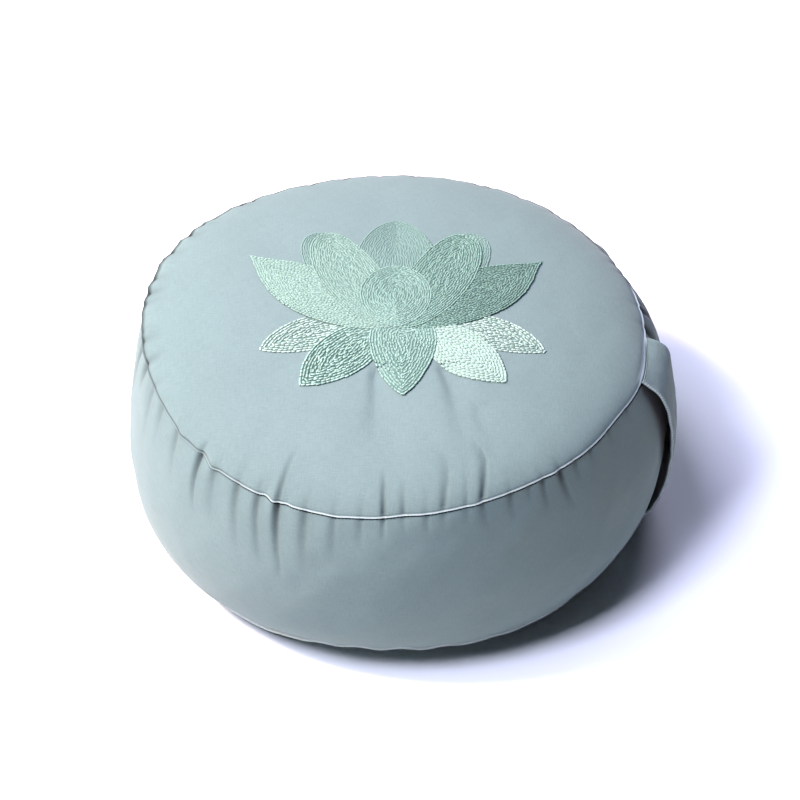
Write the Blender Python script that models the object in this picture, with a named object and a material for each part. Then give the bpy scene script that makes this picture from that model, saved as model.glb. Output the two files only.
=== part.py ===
# A round meditation cushion. A domed top panel, a side band and a bottom panel are sewn
# round a firm filling, and a carrying strap is caught in both seams.
# Metres, +Z up. The origin is the middle of the underside, and the strap is on +X.
# Angles are in degrees round the cushion, from +X towards +Y.

from collections import namedtuple

import bpy
import numpy as np

MM = 0.001

# The outline in section
SEAM_RADIUS = 152 * MM
SEAM_HEIGHT = 128 * MM
CROWN = 27 * MM                  # how far the top panel's middle stands above its seam
FOOT_RADIUS = 146 * MM           # the bottom seam
FOOT_HEIGHT = 12 * MM
REST_RADIUS = 116 * MM           # the flat where the cushion rests
DOME_POWER, DOME_ROUND = 2.4, 0.62   # a larger power is flatter in the middle, a smaller
                                     # round is steeper beside the seam
REST_ROUND = 1.8                 # how softly the underside meets the flat

# The band is one curve from seam to seam: how far its two handles reach
UPPER_OUT = 16 * MM
UPPER_DOWN = 29 * MM
LOWER_OUT = 29.5 * MM
LOWER_UP = 21.5 * MM

# Raised seam allowance
RIDGE_WIDTH = 1.5 * MM
RIDGE_HEIGHT = 0.9 * MM
RIDGE_TOP = 0.6                  # its flat top, as a share of its width
RIDGE_GROWTH = 0.8               # how much wider it is where the strap is caught in it
SEWN_SPREAD = 9                  # degrees to each side of the strap's middle
SEAM_SHARE = 0.35                # how much of a fold's depth draws in the seam itself

# Carrying strap
STRAP_WIDTH = 42 * MM
STRAP_THICKNESS = 2 * MM
STRAP_EDGE = 0.6 * MM            # bevel along its edges
STRAP_STEPS = 34
STRAP_COLUMNS = 6
STRAP_START = 0.021              # from a seam to the strap's end, as a share of the band
SEWN_GAP = 0.35 * MM             # between the strap and the cushion

# The strap's inner face between the seams: out from the middle, up, how far it lies round
# the cushion (0 is straight across, 1 follows the circle), and how much its +Y edge leads
Bow = namedtuple("Bow", "out up round lead")
STRAP_BOWS = (
    Bow(157.2 * MM, 122.6 * MM, 0.9, 0.5 * MM),
    Bow(161.4 * MM, 119.2 * MM, 0.6, 0.8 * MM),
    Bow(164.6 * MM, 114.6 * MM, 0.4, 0.8 * MM),
    Bow(167.5 * MM, 107.0 * MM, 0.3, 0.6 * MM),
    Bow(169.9 * MM, 97.0 * MM, 0.3, 0.4 * MM),
    Bow(171.6 * MM, 84.0 * MM, 0.3, 0.2 * MM),
    Bow(172.0 * MM, 71.0 * MM, 0.3, 0.0),
    Bow(171.8 * MM, 60.0 * MM, 0.3, 0.2 * MM),
    Bow(171.2 * MM, 49.5 * MM, 0.3, 0.6 * MM),
    Bow(169.6 * MM, 39.5 * MM, 0.3, 0.8 * MM),
    Bow(167.0 * MM, 29.5 * MM, 0.4, 0.8 * MM),
    Bow(163.2 * MM, 20.0 * MM, 0.6, 0.6 * MM),
    Bow(155.8 * MM, 13.0 * MM, 0.8, 0.2 * MM),
)

# A filled cover is never quite round: slow waves round it, larger towards one side
Wave = namedtuple("Wave", "times amount toward")
SEAM_WAVES = (Wave(1, 3.2 * MM, 180), Wave(2, 4.4 * MM, -15), Wave(3, 3.3 * MM, 68))
BELLY_WAVES = (Wave(1, 2.0 * MM, 14), Wave(2, 2.3 * MM, 45), Wave(3, 4.2 * MM, 9))
FOOT_WAVES = (Wave(1, 5.7 * MM, -89), Wave(2, 0.8 * MM, 69), Wave(3, 3.5 * MM, -37))

# Where the strap pulls: the seam beside it and the belly under it are drawn in, and the
# belly beyond it stands out a little more
Pull = namedtuple("Pull", "angle spread amount")
SEAM_PULLS = (Pull(338, 9, 2.4 * MM), Pull(6, 12, 1.2 * MM))
BELLY_PULLS = (Pull(0, 9, 4.0 * MM), Pull(25, 13, -3.0 * MM))

# Folds that the gathered cloth makes at the top seam. The band's run down as a share of the
# band, the panel's run in as a share of its radius, and a band fold drifts by its lean.
Fold = namedtuple("Fold", "angle band_depth band_reach lean panel_depth panel_reach")
FOLDS = (
    Fold(219.0, 1.0 * MM, 0.30, 1.0, 0.1 * MM, 0.06),
    Fold(225.0, 1.3 * MM, 0.42, 2.0, 0.3 * MM, 0.06),
    Fold(231.0, 2.4 * MM, 0.45, 2.5, 0.6 * MM, 0.08),
    Fold(236.5, 1.2 * MM, 0.35, 2.5, 0.4 * MM, 0.08),
    Fold(243.0, 2.1 * MM, 0.40, 3.5, 0.5 * MM, 0.10),
    Fold(248.5, 1.4 * MM, 0.42, 3.5, 0.5 * MM, 0.10),
    Fold(253.5, 3.0 * MM, 0.55, 4.0, 1.4 * MM, 0.17),
    Fold(260.0, 1.7 * MM, 0.42, 1.0, 0.6 * MM, 0.10),
    Fold(265.5, 0.7 * MM, 0.20, 0.5, 0.4 * MM, 0.08),
    Fold(272.5, 0.9 * MM, 0.20, 0.0, 0.5 * MM, 0.12),
    Fold(276.5, 1.2 * MM, 0.22, 0.0, 1.7 * MM, 0.18),
    Fold(280.5, 0.7 * MM, 0.20, 0.0, 1.0 * MM, 0.22),
    Fold(286.0, 1.1 * MM, 0.18, 0.0, 0.4 * MM, 0.10),
    Fold(290.0, 0.5 * MM, 0.14, 0.0, 1.2 * MM, 0.22),
    Fold(294.5, 0.5 * MM, 0.12, 0.0, 0.6 * MM, 0.14),
    Fold(298.5, 1.5 * MM, 0.18, 0.0, 1.8 * MM, 0.22),
    Fold(304.5, 1.2 * MM, 0.20, -1.0, 0.3 * MM, 0.08),
    Fold(312.5, 1.8 * MM, 0.26, -1.0, 0.4 * MM, 0.08),
    Fold(319.0, 1.3 * MM, 0.20, -1.5, 0.3 * MM, 0.08),
    Fold(334.5, 0.7 * MM, 0.14, 0.0, 0.2 * MM, 0.06),
)
FOLD_WIDTH = 1.9                 # degrees, at the seam
FOLD_SPREAD = 0.8                # how much wider a fold is at its end
FOLD_PEAK = 0.2                  # where along its run a fold is deepest
FOLD_RISE, FOLD_FALL = 0.6, 2.4  # how steeply it deepens, and how softly it runs out
CALM = 11                        # degrees to each side of the strap without folds

# Round the rest of the top seam, and all round the bottom one, the folds keep a rhythm
BACK_FIRST, BACK_LAST = 372.0, 574.0
BACK_COUNT = 34
BACK_DEPTH = 1.4 * MM
FOOT_COUNT = 36
FOOT_DEPTH = 1.1 * MM
FOOT_REACH = 0.16
FOOT_SWELL = Wave(5, 0.4, -8)    # the bottom folds are deeper in five places

# Rings of points down the section. place is 0 to 1 out over the top panel, 1 to 2 down the
# band and 2 to 3 in under the bottom panel; across and up are offsets along and off the cloth.
Ring = namedtuple("Ring", "place count across up")
PANEL_RINGS = (
    (0.18, 60), (0.35, 60), (0.50, 60), (0.64, 120), (0.76, 120), (0.85, 120),
    (0.915, 240), (0.955, 240), (0.982, 240),
)
BAND_RINGS = (
    (1.022, 240), (1.05, 240), (1.09, 240), (1.145, 240), (1.215, 240), (1.30, 240),
    (1.40, 120), (1.51, 120), (1.62, 120), (1.72, 120), (1.81, 120), (1.88, 120),
    (1.935, 120), (1.975, 120),
)
UNDER_RINGS = ((2.04, 120), (2.12, 120), (2.30, 120), (2.60, 60), (3.0, 60))

CLOTH_COLOUR = (0.46, 0.60, 0.62)
STRAP_COLOUR = (0.42, 0.56, 0.58)
CLOTH_ROUGHNESS = 0.9

SLOPE_STEP = 0.004               # how far apart two places are when a slope is measured


def waves(rows, angle):
    return sum(row.amount * np.cos(row.times * np.radians(angle - row.toward)) for row in rows)


def turned(angle, towards):
    # The angle from one direction to another, from -180 to 180.
    return (angle - towards + 180) % 360 - 180


def pulls(rows, angle):
    near = [np.exp(-((turned(angle, row.angle) / row.spread) ** 2)) for row in rows]
    return sum(row.amount * share for row, share in zip(rows, near))


def bezier(start, first, second, end, t):
    return ((1 - t) ** 3 * start + 3 * (1 - t) ** 2 * t * first
            + 3 * (1 - t) * t**2 * second + t**3 * end)


def section(angle, place):
    # Radius and height of the cloth without its folds.
    seam_radius = SEAM_RADIUS - pulls(SEAM_PULLS, angle)
    lift = waves(SEAM_WAVES, angle)
    belly = waves(BELLY_WAVES, angle) - pulls(BELLY_PULLS, angle)
    foot = FOOT_RADIUS + waves(FOOT_WAVES, angle)
    if place <= 1:
        dome = (1 - place**DOME_POWER) ** DOME_ROUND
        return place * seam_radius, SEAM_HEIGHT + lift * place**2 + CROWN * dome
    if place <= 2:
        down = place - 1
        top = SEAM_HEIGHT + lift
        upper_handle = seam_radius + UPPER_OUT + belly
        lower_handle = foot + LOWER_OUT + belly
        radius = bezier(seam_radius, upper_handle, lower_handle, foot, down)
        height = bezier(top, top - UPPER_DOWN, FOOT_HEIGHT + LOWER_UP, FOOT_HEIGHT, down)
        return radius, height
    inward = place - 2
    radius = foot + (REST_RADIUS - foot) * inward
    return radius, FOOT_HEIGHT * (1 - inward) ** REST_ROUND + 0 * radius


def directions(angle, place):
    # Unit vectors in the section: along the cloth, outwards and down, and off the cloth.
    radius_a, height_a = section(angle, place - SLOPE_STEP)
    radius_b, height_b = section(angle, min(place + SLOPE_STEP, 3.0))
    along = np.array([radius_b - radius_a, height_b - height_a])
    along = along / np.hypot(*along)
    return along, np.array([-along[1], along[0]])


def trough(share):
    # A fold's depth along its run: none at the seam, full at the peak, none at its end.
    rise = (share / FOLD_PEAK) ** FOLD_RISE
    return rise * ((1 - share) / (1 - FOLD_PEAK)) ** FOLD_FALL


def back_folds():
    # The unseen folds of the top seam: even steps, each a little off its place and depth.
    span = BACK_LAST - BACK_FIRST
    for index in range(BACK_COUNT):
        angle = BACK_FIRST + span * (index + 0.3 * np.sin(2.4 * index)) / BACK_COUNT
        depth = BACK_DEPTH * (0.75 + 0.45 * np.sin(1.7 * index + 1))
        reach = 0.26 + 0.1 * np.sin(2.9 * index)
        yield Fold(angle % 360, depth, reach, 0.0, 0.4 * depth, 0.09)


def relief(angle, place, folds):
    # How far the cloth is drawn in at a place, over all folds.
    total = 0 * angle
    for fold in folds:
        reach = fold.panel_reach if place <= 1 else fold.band_reach
        share = abs(place - 1) / reach
        if share >= 1:
            continue
        middle = fold.angle + (fold.lean * share if place > 1 else 0)
        width = FOLD_WIDTH * (1 + FOLD_SPREAD * share)
        own = fold.panel_depth if place < 1 else fold.band_depth
        depth = SEAM_SHARE * fold.band_depth * (1 - share) ** 2 + own * trough(share)
        total = total + depth * np.exp(-((turned(angle, middle) / width) ** 2))
    near_foot = max(0.0, 1 - abs(place - 2) / FOOT_REACH)
    swell = 1 - FOOT_SWELL.amount + waves([FOOT_SWELL], angle)
    rhythm = 0.5 + 0.5 * np.cos(np.radians(FOOT_COUNT * angle))
    total = total + FOOT_DEPTH * near_foot * swell * rhythm
    return total * (1 - np.exp(-((turned(angle, 0) / CALM) ** 4)))


def ridge_rings(place, count):
    # Four rings that raise the seam allowance: its flat top, and its foot on each side.
    foot = 0.5 * RIDGE_WIDTH
    top = RIDGE_TOP * foot
    shape = ((-foot, 0), (-top, RIDGE_HEIGHT), (top, RIDGE_HEIGHT), (foot, 0))
    return [Ring(place, count, across, up) for across, up in shape]


def all_rings():
    rings = [Ring(place, count, 0, 0) for place, count in PANEL_RINGS]
    rings += ridge_rings(1.0, 240)
    rings += [Ring(place, count, 0, 0) for place, count in BAND_RINGS]
    rings += ridge_rings(2.0, 120)
    rings += [Ring(place, count, 0, 0) for place, count in UNDER_RINGS]
    return rings


def ring_points(ring, folds):
    angle = np.arange(ring.count) * 360 / ring.count
    radius, height = section(angle, ring.place)
    along, off = directions(angle, ring.place)
    sewn = np.exp(-((turned(angle, 0) / SEWN_SPREAD) ** 4)) * (ring.place == 1)
    growth = 1 + RIDGE_GROWTH * sewn
    up = ring.up - relief(angle, ring.place, folds)
    radius = radius + along[0] * ring.across * growth + off[0] * up
    height = height + along[1] * ring.across * growth + off[1] * up
    if ring.place == 3.0:
        height = 0 * height
    turn = np.radians(angle)
    return np.stack([radius * np.cos(turn), radius * np.sin(turn), height], axis=1)


def joined(upper, lower, first_upper, first_lower):
    # Faces between two rings, of the same count or one twice the other.
    faces = []
    count = max(upper, lower)
    for index in range(count):
        following = (index + 1) % count
        if upper == lower:
            a, b = first_upper + index, first_upper + following
            c, d = first_lower + following, first_lower + index
            faces.append((a, d, c, b))
        elif upper < lower:
            near = first_upper + (index + 1) // 2 % upper
            faces.append((near, first_lower + index, first_lower + following))
            if index % 2:
                faces.append((first_upper + index // 2, first_lower + index, near))
        else:
            near = first_lower + (index + 1) // 2 % lower
            faces.append((first_upper + index, near, first_upper + following))
            if index % 2:
                faces.append((first_upper + index, first_lower + index // 2, near))
    return faces


def cushion_mesh():
    folds = list(FOLDS) + list(back_folds())
    rings = all_rings()
    middle_height = SEAM_HEIGHT + CROWN
    points = [np.array([[0, 0, middle_height]])] + [ring_points(ring, folds) for ring in rings]
    starts = 1 + np.concatenate([[0], np.cumsum([ring.count for ring in rings])])
    faces = [(0, 1 + index, 1 + (index + 1) % rings[0].count) for index in range(rings[0].count)]
    starts = [int(start) for start in starts]
    for upper, lower, first, second in zip(rings, rings[1:], starts, starts[1:]):
        faces += joined(upper.count, lower.count, first, second)
    underside = starts[-1]
    points.append(np.array([[0, 0, 0]]))
    last, count = starts[-2], rings[-1].count
    faces += [(underside, last + (index + 1) % count, last + index) for index in range(count)]
    return np.concatenate(points), faces


def smooth_path(points, count):
    # A Catmull-Rom curve through the points, at even distances along it.
    ends = (2 * points[:1] - points[1:2], 2 * points[-1:] - points[-2:-1])
    padded = np.concatenate([ends[0], points, ends[1]])
    t = np.linspace(0, 1, 12, endpoint=False)[:, None]
    spans = []
    for a, b, c, d in zip(padded, padded[1:], padded[2:], padded[3:]):
        bend = 2 * a - 5 * b + 4 * c - d
        spans.append(0.5 * (2 * b + (c - a) * t + bend * t**2 + (3 * b - a - 3 * c + d) * t**3))
    dense = np.concatenate(spans + [points[-1:]])
    length = np.concatenate([[0], np.cumsum(np.hypot(*np.diff(dense, axis=0).T))])
    even = np.linspace(0, length[-1], count)
    return np.stack([np.interp(even, length, dense[:, k]) for k in (0, 1)], axis=1)


def sewn_point(across, place):
    # Where the strap's inner face leaves a seam: clear of its ridge, just off the cloth.
    angle = np.degrees(np.arcsin(across / SEAM_RADIUS))
    radius, height = section(angle, place)
    off = directions(angle, place)[1]
    out = radius + SEWN_GAP * off[0]
    return out * np.cos(np.radians(angle)), height + SEWN_GAP * off[1]


def strap_column(across):
    # The inner face and its direction off the cushion, at one place across the strap.
    points = [sewn_point(across, 1 + STRAP_START)]
    for bow in STRAP_BOWS:
        fall = bow.round * (bow.out - np.sqrt(bow.out**2 - across**2))
        lead = bow.lead * across / (0.5 * STRAP_WIDTH)
        points.append((bow.out - fall + lead, bow.up))
    points.append(sewn_point(across, 2 - STRAP_START))
    path = smooth_path(np.array(points), STRAP_STEPS)
    along = np.gradient(path, axis=0)
    along = along / np.hypot(along[:, 0], along[:, 1])[:, None]
    return path, np.stack([-along[:, 1], along[:, 0]], axis=1)


def strap_mesh():
    half = 0.5 * STRAP_WIDTH
    columns = np.linspace(-half + STRAP_EDGE, half - STRAP_EDGE, STRAP_COLUMNS)
    loop = [(across, 0.0) for across in columns]
    loop += [(half, STRAP_EDGE), (half, STRAP_THICKNESS - STRAP_EDGE)]
    loop += [(across, STRAP_THICKNESS) for across in columns[::-1]]
    loop += [(-half, STRAP_THICKNESS - STRAP_EDGE), (-half, STRAP_EDGE)]
    rows = []
    for across, up in loop:
        path, off = strap_column(across)
        out, height = (path + off * up).T
        rows.append(np.stack([out, 0 * out + across, height], axis=1))
    points = np.stack(rows, axis=1)
    steps, sides = points.shape[:2]
    faces = []
    for step in range(steps - 1):
        for side in range(sides):
            a = step * sides + side
            b = step * sides + (side + 1) % sides
            faces.append((a, b, b + sides, a + sides))
    last = (steps - 1) * sides
    for inner in range(-1, STRAP_COLUMNS):
        outer = 2 * STRAP_COLUMNS + 1 - inner
        corners = [inner % sides, outer, outer - 1, inner + 1]
        faces.append(tuple(corners))
        faces.append(tuple(last + corner for corner in corners[::-1]))
    return points.reshape(-1, 3), faces


def material(name, colour):
    made = bpy.data.materials.new(name)
    made.use_nodes = True
    shader = made.node_tree.nodes["Principled BSDF"]
    shader.inputs["Base Color"].default_value = (*colour, 1)
    shader.inputs["Roughness"].default_value = CLOTH_ROUGHNESS
    shader.inputs["Metallic"].default_value = 0.0
    return made


def add_piece(name, points, faces, finish):
    mesh = bpy.data.meshes.new(name)
    mesh.from_pydata([tuple(point) for point in points], [], faces)
    mesh.validate()
    mesh.shade_smooth()
    mesh.materials.append(finish)
    piece = bpy.data.objects.new(name, mesh)
    bpy.context.scene.collection.objects.link(piece)
    return piece


for old in list(bpy.data.objects):
    bpy.data.objects.remove(old)

add_piece("cushion", *cushion_mesh(), material("cover_cloth", CLOTH_COLOUR))
add_piece("carry_strap", *strap_mesh(), material("strap_cloth", STRAP_COLOUR))
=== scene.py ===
from collections import namedtuple

import bpy
import mathutils
import numpy as np
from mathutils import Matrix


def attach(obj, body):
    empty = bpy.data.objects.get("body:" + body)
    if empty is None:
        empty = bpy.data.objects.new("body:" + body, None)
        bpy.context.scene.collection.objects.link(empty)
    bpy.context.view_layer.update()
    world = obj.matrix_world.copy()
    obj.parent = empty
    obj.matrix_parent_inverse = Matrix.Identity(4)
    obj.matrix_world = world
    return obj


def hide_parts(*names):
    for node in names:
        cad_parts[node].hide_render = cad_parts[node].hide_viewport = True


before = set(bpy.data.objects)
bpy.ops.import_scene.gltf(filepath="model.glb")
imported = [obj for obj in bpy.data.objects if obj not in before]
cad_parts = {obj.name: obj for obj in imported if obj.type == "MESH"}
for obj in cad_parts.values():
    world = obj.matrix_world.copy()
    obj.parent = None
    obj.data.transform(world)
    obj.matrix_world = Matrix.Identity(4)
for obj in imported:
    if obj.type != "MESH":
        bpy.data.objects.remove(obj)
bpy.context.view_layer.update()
mm = 0.001


def turned(angle, toward):
    # The angle from one direction to another, from -180 to 180.
    return (angle - toward + 180) % 360 - 180


def bell(x):
    # The bell curve e^(-x^2), 1 at its middle.
    return np.exp(-np.asarray(x) ** 2)


def unit(vectors):
    # Each vector divided by its own length.
    return vectors / np.linalg.norm(vectors, axis=-1, keepdims=True)


def gridFaces(rows, columns, closed):
    # Quads between neighbouring rows and columns, the last column joined to the first if closed.
    across = np.arange(columns if closed else columns - 1)
    down = np.arange(rows - 1)[:, None]
    right = (across + 1) % columns
    corners = [down * columns + across, (down + 1) * columns + across,
               (down + 1) * columns + right, down * columns + right]
    return np.stack(corners, axis=-1).reshape(-1, 4)


def newPiece(name, points, faces, finish):
    # One object from an array of points and a list of face arrays, smooth-shaded.
    mesh = bpy.data.meshes.new(name)
    sizes = np.concatenate([np.full(len(part), part.shape[1]) for part in faces])
    corners = np.concatenate([part.ravel() for part in faces])
    mesh.vertices.add(len(points))
    mesh.vertices.foreach_set("co", np.ascontiguousarray(points, np.float32).ravel())
    mesh.loops.add(len(corners))
    mesh.loops.foreach_set("vertex_index", corners.astype(np.int32))
    mesh.polygons.add(len(sizes))
    starts = np.concatenate([[0], np.cumsum(sizes)[:-1]])
    mesh.polygons.foreach_set("loop_start", starts.astype(np.int32))
    mesh.update(calc_edges=True)
    mesh.validate()
    mesh.shade_smooth()
    mesh.materials.append(finish)
    piece = bpy.data.objects.new(name, mesh)
    bpy.context.scene.collection.objects.link(piece)
    return piece


def setAttribute(piece, name, values):
    # A number for each point, which the materials read by name.
    layer = piece.data.attributes.new(name, "FLOAT", "POINT")
    layer.data.foreach_set("value", np.ascontiguousarray(values, np.float32).ravel())


def setClothMap(piece, uv):
    # The cloth's own coordinates in metres, one pair for each point.
    layer = piece.data.uv_layers.new(name="cloth")
    corner = np.empty(len(piece.data.loops), np.int32)
    piece.data.loops.foreach_get("vertex_index", corner)
    layer.data.foreach_set("uv", np.ascontiguousarray(uv[corner], np.float32).ravel())


def softNoise(x, y, size, seed):
    # Smooth unevenness, most of it from -1 to 1: the sum of sixteen sine waves in seeded
    # directions, between 0.6 and 1.7 times the given size long.
    draw = np.random.default_rng(seed)
    total = np.zeros(np.broadcast(x, y).shape)
    for turn, phase, longer in draw.random((16, 3)):
        waveLength = size * (0.6 + 1.1 * longer)
        along = x * np.cos(2 * np.pi * turn) + y * np.sin(2 * np.pi * turn)
        total += np.sin(2 * np.pi * (along / waveLength + phase))
    return total / 5.6


def nodeAdder(made):
    # Gives a function that adds a node, sets its values and links the sockets given as inputs.
    tree = made.node_tree

    def add(kind, inputs=(), **settings):
        node = tree.nodes.new(kind)
        for key, value in settings.items():
            setattr(node, key, value)
        for key, value in dict(inputs).items():
            if isinstance(value, bpy.types.NodeSocket):
                tree.links.new(value, node.inputs[key])
            else:
                node.inputs[key].default_value = value
        return node

    return add


def startMaterial(name):
    # A new material, its shader and its node adder.
    made = bpy.data.materials.new(name)
    made.use_nodes = True
    shader = made.node_tree.nodes["Principled BSDF"]
    return made, shader, nodeAdder(made)


def clothMaterial(name, look):
    # Matt cotton twill on the cloth's own map: warp and weft ribs with uneven yarns, a faint
    # mottle from dyeing, paler edges, partly wear and partly painted highlight, and painted shade
    # in the grooves, in the gathers and by the strap.
    made, shader, add = startMaterial(name)
    link = made.node_tree.links.new
    uv = add("ShaderNodeUVMap", uv_map="cloth").outputs["UV"]

    def yarns(sizeAlong, sizeAcross, detail):
        stretched = add("ShaderNodeMapping", {"Vector": uv, "Scale": (1 / sizeAlong, 1 / sizeAcross, 1)})
        return add("ShaderNodeTexNoise", {"Vector": stretched.outputs[0], "Scale": 1.0, "Detail": detail,
                                          "Roughness": 0.6}, noise_dimensions="2D").outputs["Fac"]

    def ribs(turn, pitch):
        turnedMap = add("ShaderNodeMapping", {"Vector": uv, "Rotation": (0, 0, turn)})
        # a wave texture's stripes repeat every 2 pi / 20 at scale 1
        wave = add("ShaderNodeTexWave", {"Vector": turnedMap.outputs[0], "Scale": 0.31416 / pitch,
                                         "Distortion": 1.2, "Detail": 1.0, "Detail Scale": 1.5})
        return wave.outputs["Fac"]

    weft = yarns(look["slubLength"], look["yarn"], 3)
    warp = yarns(look["yarn"], look["slubLength"], 3)
    twill = ribs(np.radians(look["twillTurn"]), look["twillPitch"])
    mottle = add("ShaderNodeTexNoise", {"Vector": uv, "Scale": 1 / look["mottleSize"], "Detail": 4.0,
                                        "Roughness": 0.55}, noise_dimensions="2D").outputs["Fac"]
    yarnSum = add("ShaderNodeMath", {0: weft, 1: warp}, operation="ADD").outputs[0]
    weave = add("ShaderNodeMath", {0: twill, 1: look["twillShare"], 2: yarnSum},
                operation="MULTIPLY_ADD").outputs[0]
    tone = add("ShaderNodeMapRange", {"Value": yarnSum, "From Min": 0.6, "From Max": 1.4,
                                      "To Min": 0.0, "To Max": 1.0}).outputs[0]
    woven = add("ShaderNodeMix", {"Factor": tone}, data_type="RGBA")
    woven.inputs[6].default_value = (*look["deep"], 1)      # 6 and 7 are the two colours mixed
    woven.inputs[7].default_value = (*look["pale"], 1)
    most = look["mottle"]
    mottled = add("ShaderNodeMapRange", {"Value": mottle, "From Min": 0.3, "From Max": 0.7,
                                         "To Min": 1 - most, "To Max": 1 + most}).outputs[0]
    shaded = add("ShaderNodeVectorMath", {0: woven.outputs[2], "Scale": mottled},
                 operation="SCALE").outputs[0]
    # paler edges, partly wear and partly painted highlight, by a point attribute
    wearAndHighlight = add("ShaderNodeAttribute", attribute_name="wearAndHighlight").outputs["Fac"]
    rubbed = add("ShaderNodeMix", {"Factor": wearAndHighlight}, data_type="RGBA")
    link(shaded, rubbed.inputs[6])
    rubbed.inputs[7].default_value = (*look["rubbed"], 1)
    # painted shade: the colour goes darker where little light reaches, by a point attribute
    paintedShade = add("ShaderNodeAttribute", attribute_name="paintedShade").outputs["Fac"]
    dim = add("ShaderNodeMapRange", {"Value": paintedShade, "To Min": 1.0,
                                     "To Max": 1 - look["seamShade"]}).outputs[0]
    dimmed = add("ShaderNodeVectorMath", {0: rubbed.outputs[2], "Scale": dim}, operation="SCALE").outputs[0]
    link(dimmed, shader.inputs["Base Color"])
    bump = add("ShaderNodeBump", {"Height": weave, "Strength": look["relief"], "Distance": look["depth"]})
    link(bump.outputs[0], shader.inputs["Normal"])
    shader.inputs["Roughness"].default_value = look["roughness"]
    shader.inputs["Specular IOR Level"].default_value = look["specular"]
    shader.inputs["Sheen Weight"].default_value = look["sheen"]
    shader.inputs["Sheen Roughness"].default_value = look["sheenRoughness"]
    return made


threadLook = {"filament": 900.0, "unevenness": 0.12, "relief": 0.35, "depth": 0.1 * mm,
              "roughness": 0.42, "specular": 0.45, "sheen": 0.15}


def threadMaterial(name, hollow, crest):
    # Lustrous thread: the colour runs from the hollow between the rows, a painted shade, to a
    # stitch's crest, a painted highlight, by the attribute that each stitch carries, with fine
    # filaments along it.
    made, shader, add = startMaterial(name)
    link = made.node_tree.links.new
    shade = add("ShaderNodeAttribute", attribute_name="shade").outputs["Fac"]
    place = add("ShaderNodeTexCoord").outputs["Object"]
    flecks = add("ShaderNodeTexNoise", {"Vector": place, "Scale": threadLook["filament"],
                                        "Detail": 2.0}).outputs["Fac"]
    most = threadLook["unevenness"]
    spread = add("ShaderNodeMapRange", {"Value": flecks, "From Min": 0.3, "From Max": 0.7,
                                        "To Min": -most, "To Max": most}).outputs[0]
    mixed = add("ShaderNodeMath", {0: shade, 1: spread}, operation="ADD", use_clamp=True).outputs[0]
    tone = add("ShaderNodeMix", {"Factor": mixed}, data_type="RGBA")
    tone.inputs[6].default_value = (*hollow, 1)
    tone.inputs[7].default_value = (*crest, 1)
    link(tone.outputs[2], shader.inputs["Base Color"])
    bump = add("ShaderNodeBump", {"Height": flecks, "Strength": threadLook["relief"],
                                  "Distance": threadLook["depth"]})
    link(bump.outputs[0], shader.inputs["Normal"])
    shader.inputs["Roughness"].default_value = threadLook["roughness"]
    shader.inputs["Specular IOR Level"].default_value = threadLook["specular"]
    shader.inputs["Sheen Weight"].default_value = threadLook["sheen"]
    return made


# The cushion's own sizes, heights above the floor.
cushion = {
    "seamRadius": 152 * mm,
    "seamHeight": 128 * mm,
    "crown": 27 * mm,
    "footRadius": 146 * mm,
    "footHeight": 12 * mm,
    "restRadius": 116 * mm,
    "upperHandle": (16 * mm, 29 * mm),       # the band's curve: out, down
    "lowerHandle": (29.5 * mm, 21.5 * mm),   # out, up
    "domePower": 2.4,
    "domeRound": 0.62,
    "restRound": 1.8,
    "panelLength": 158 * mm,   # along the cloth for one step of place: near the top seam,
    "bandLength": 165 * mm,    # down the band
    "underLength": 120 * mm,   # and near the bottom seam
    "mapRadius": 160 * mm,     # at which the band is unrolled
    "columnStep": 0.38,        # degrees, and how much closer the columns stand beside a gather
    "columnsCloser": 3.0,
    "columnsWithin": 1.0,
    "floorGap": 0.05 * mm,
    "stitchPitch": 1.95 * mm,
}

# Lines along the seams: how far below the seam, half-width, and height, depth or strength.
Line = namedtuple("Line", "at width amount")
seamLines = {
    "frontEdge": Line(0, 0.26 * mm, 0.45 * mm),
    "backEdge": Line(0, 0.70 * mm, 1.8 * mm),
    "edgePastStrap": Line(0, 0.50 * mm, 0.7 * mm),
    "groove": Line(0.85 * mm, 0.42 * mm, 1.3 * mm),
    "upperGroove": Line(-0.35 * mm, 0.32 * mm, 0.5 * mm),
    "lowEdge": Line(0, 0.60 * mm, 1.9 * mm),
    "lowGrooves": Line(1.2 * mm, 0.45 * mm, 0.6 * mm),
}
# Pale lines along the edges, partly wear and partly painted highlight.
wearAndHighlightLines = {
    "front": Line(-0.05 * mm, 0.19 * mm, 1.0),
    "overStrap": Line(-0.80 * mm, 1.30 * mm, 1.0),
    "pastStrap": Line(0, 0.60 * mm, 1.0),
    "low": Line(-0.10 * mm, 0.60 * mm, 1.0),
}
# Painted shade along the seams: in the stitched groove, above it, at the sides, behind and at the bottom
# seam.
paintedShadeLines = {
    "groove": Line(1.0 * mm, 0.78 * mm, 1.0),
    "above": Line(-0.50 * mm, 0.28 * mm, 0.5),
    "sides": Line(-0.35 * mm, 0.30 * mm, 0.75),
    "behind": Line(0, 1.1 * mm, 0.8),
    "low": Line(1.0 * mm, 0.5 * mm, 1.0),
}
# Painted shade where little light reaches: beside the strap, under it and past it, in the stitch
# holes and the gathers, each with its share from 0 to 1. Directions and spreads are in degrees,
# starts are lengths down from the seam, and ends and fades are in place.
paintedShadeForm = {
    "beside": 0.95, "besideToward": -6.5, "besideSlant": 15, "besideSpread": 4.4,
    "besideStart": 1.5 * mm, "besideEnd": 1.45, "besideFade": 0.3,
    "under": 0.7, "underStart": 4 * mm, "past": 0.45, "pastStart": 1 * mm, "pastFade": 0.15,
    "holes": 0.5, "folds": 0.85,
}
# Stretches of the top seam, as a direction and degrees to each side of it: the front, where the
# raised edge shows, the back, the strap and just past the strap.
seamStretches = {"front": (303, 66), "back": (115, 88), "strap": (0, 8.6), "pastStrap": (16, 10)}

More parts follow.
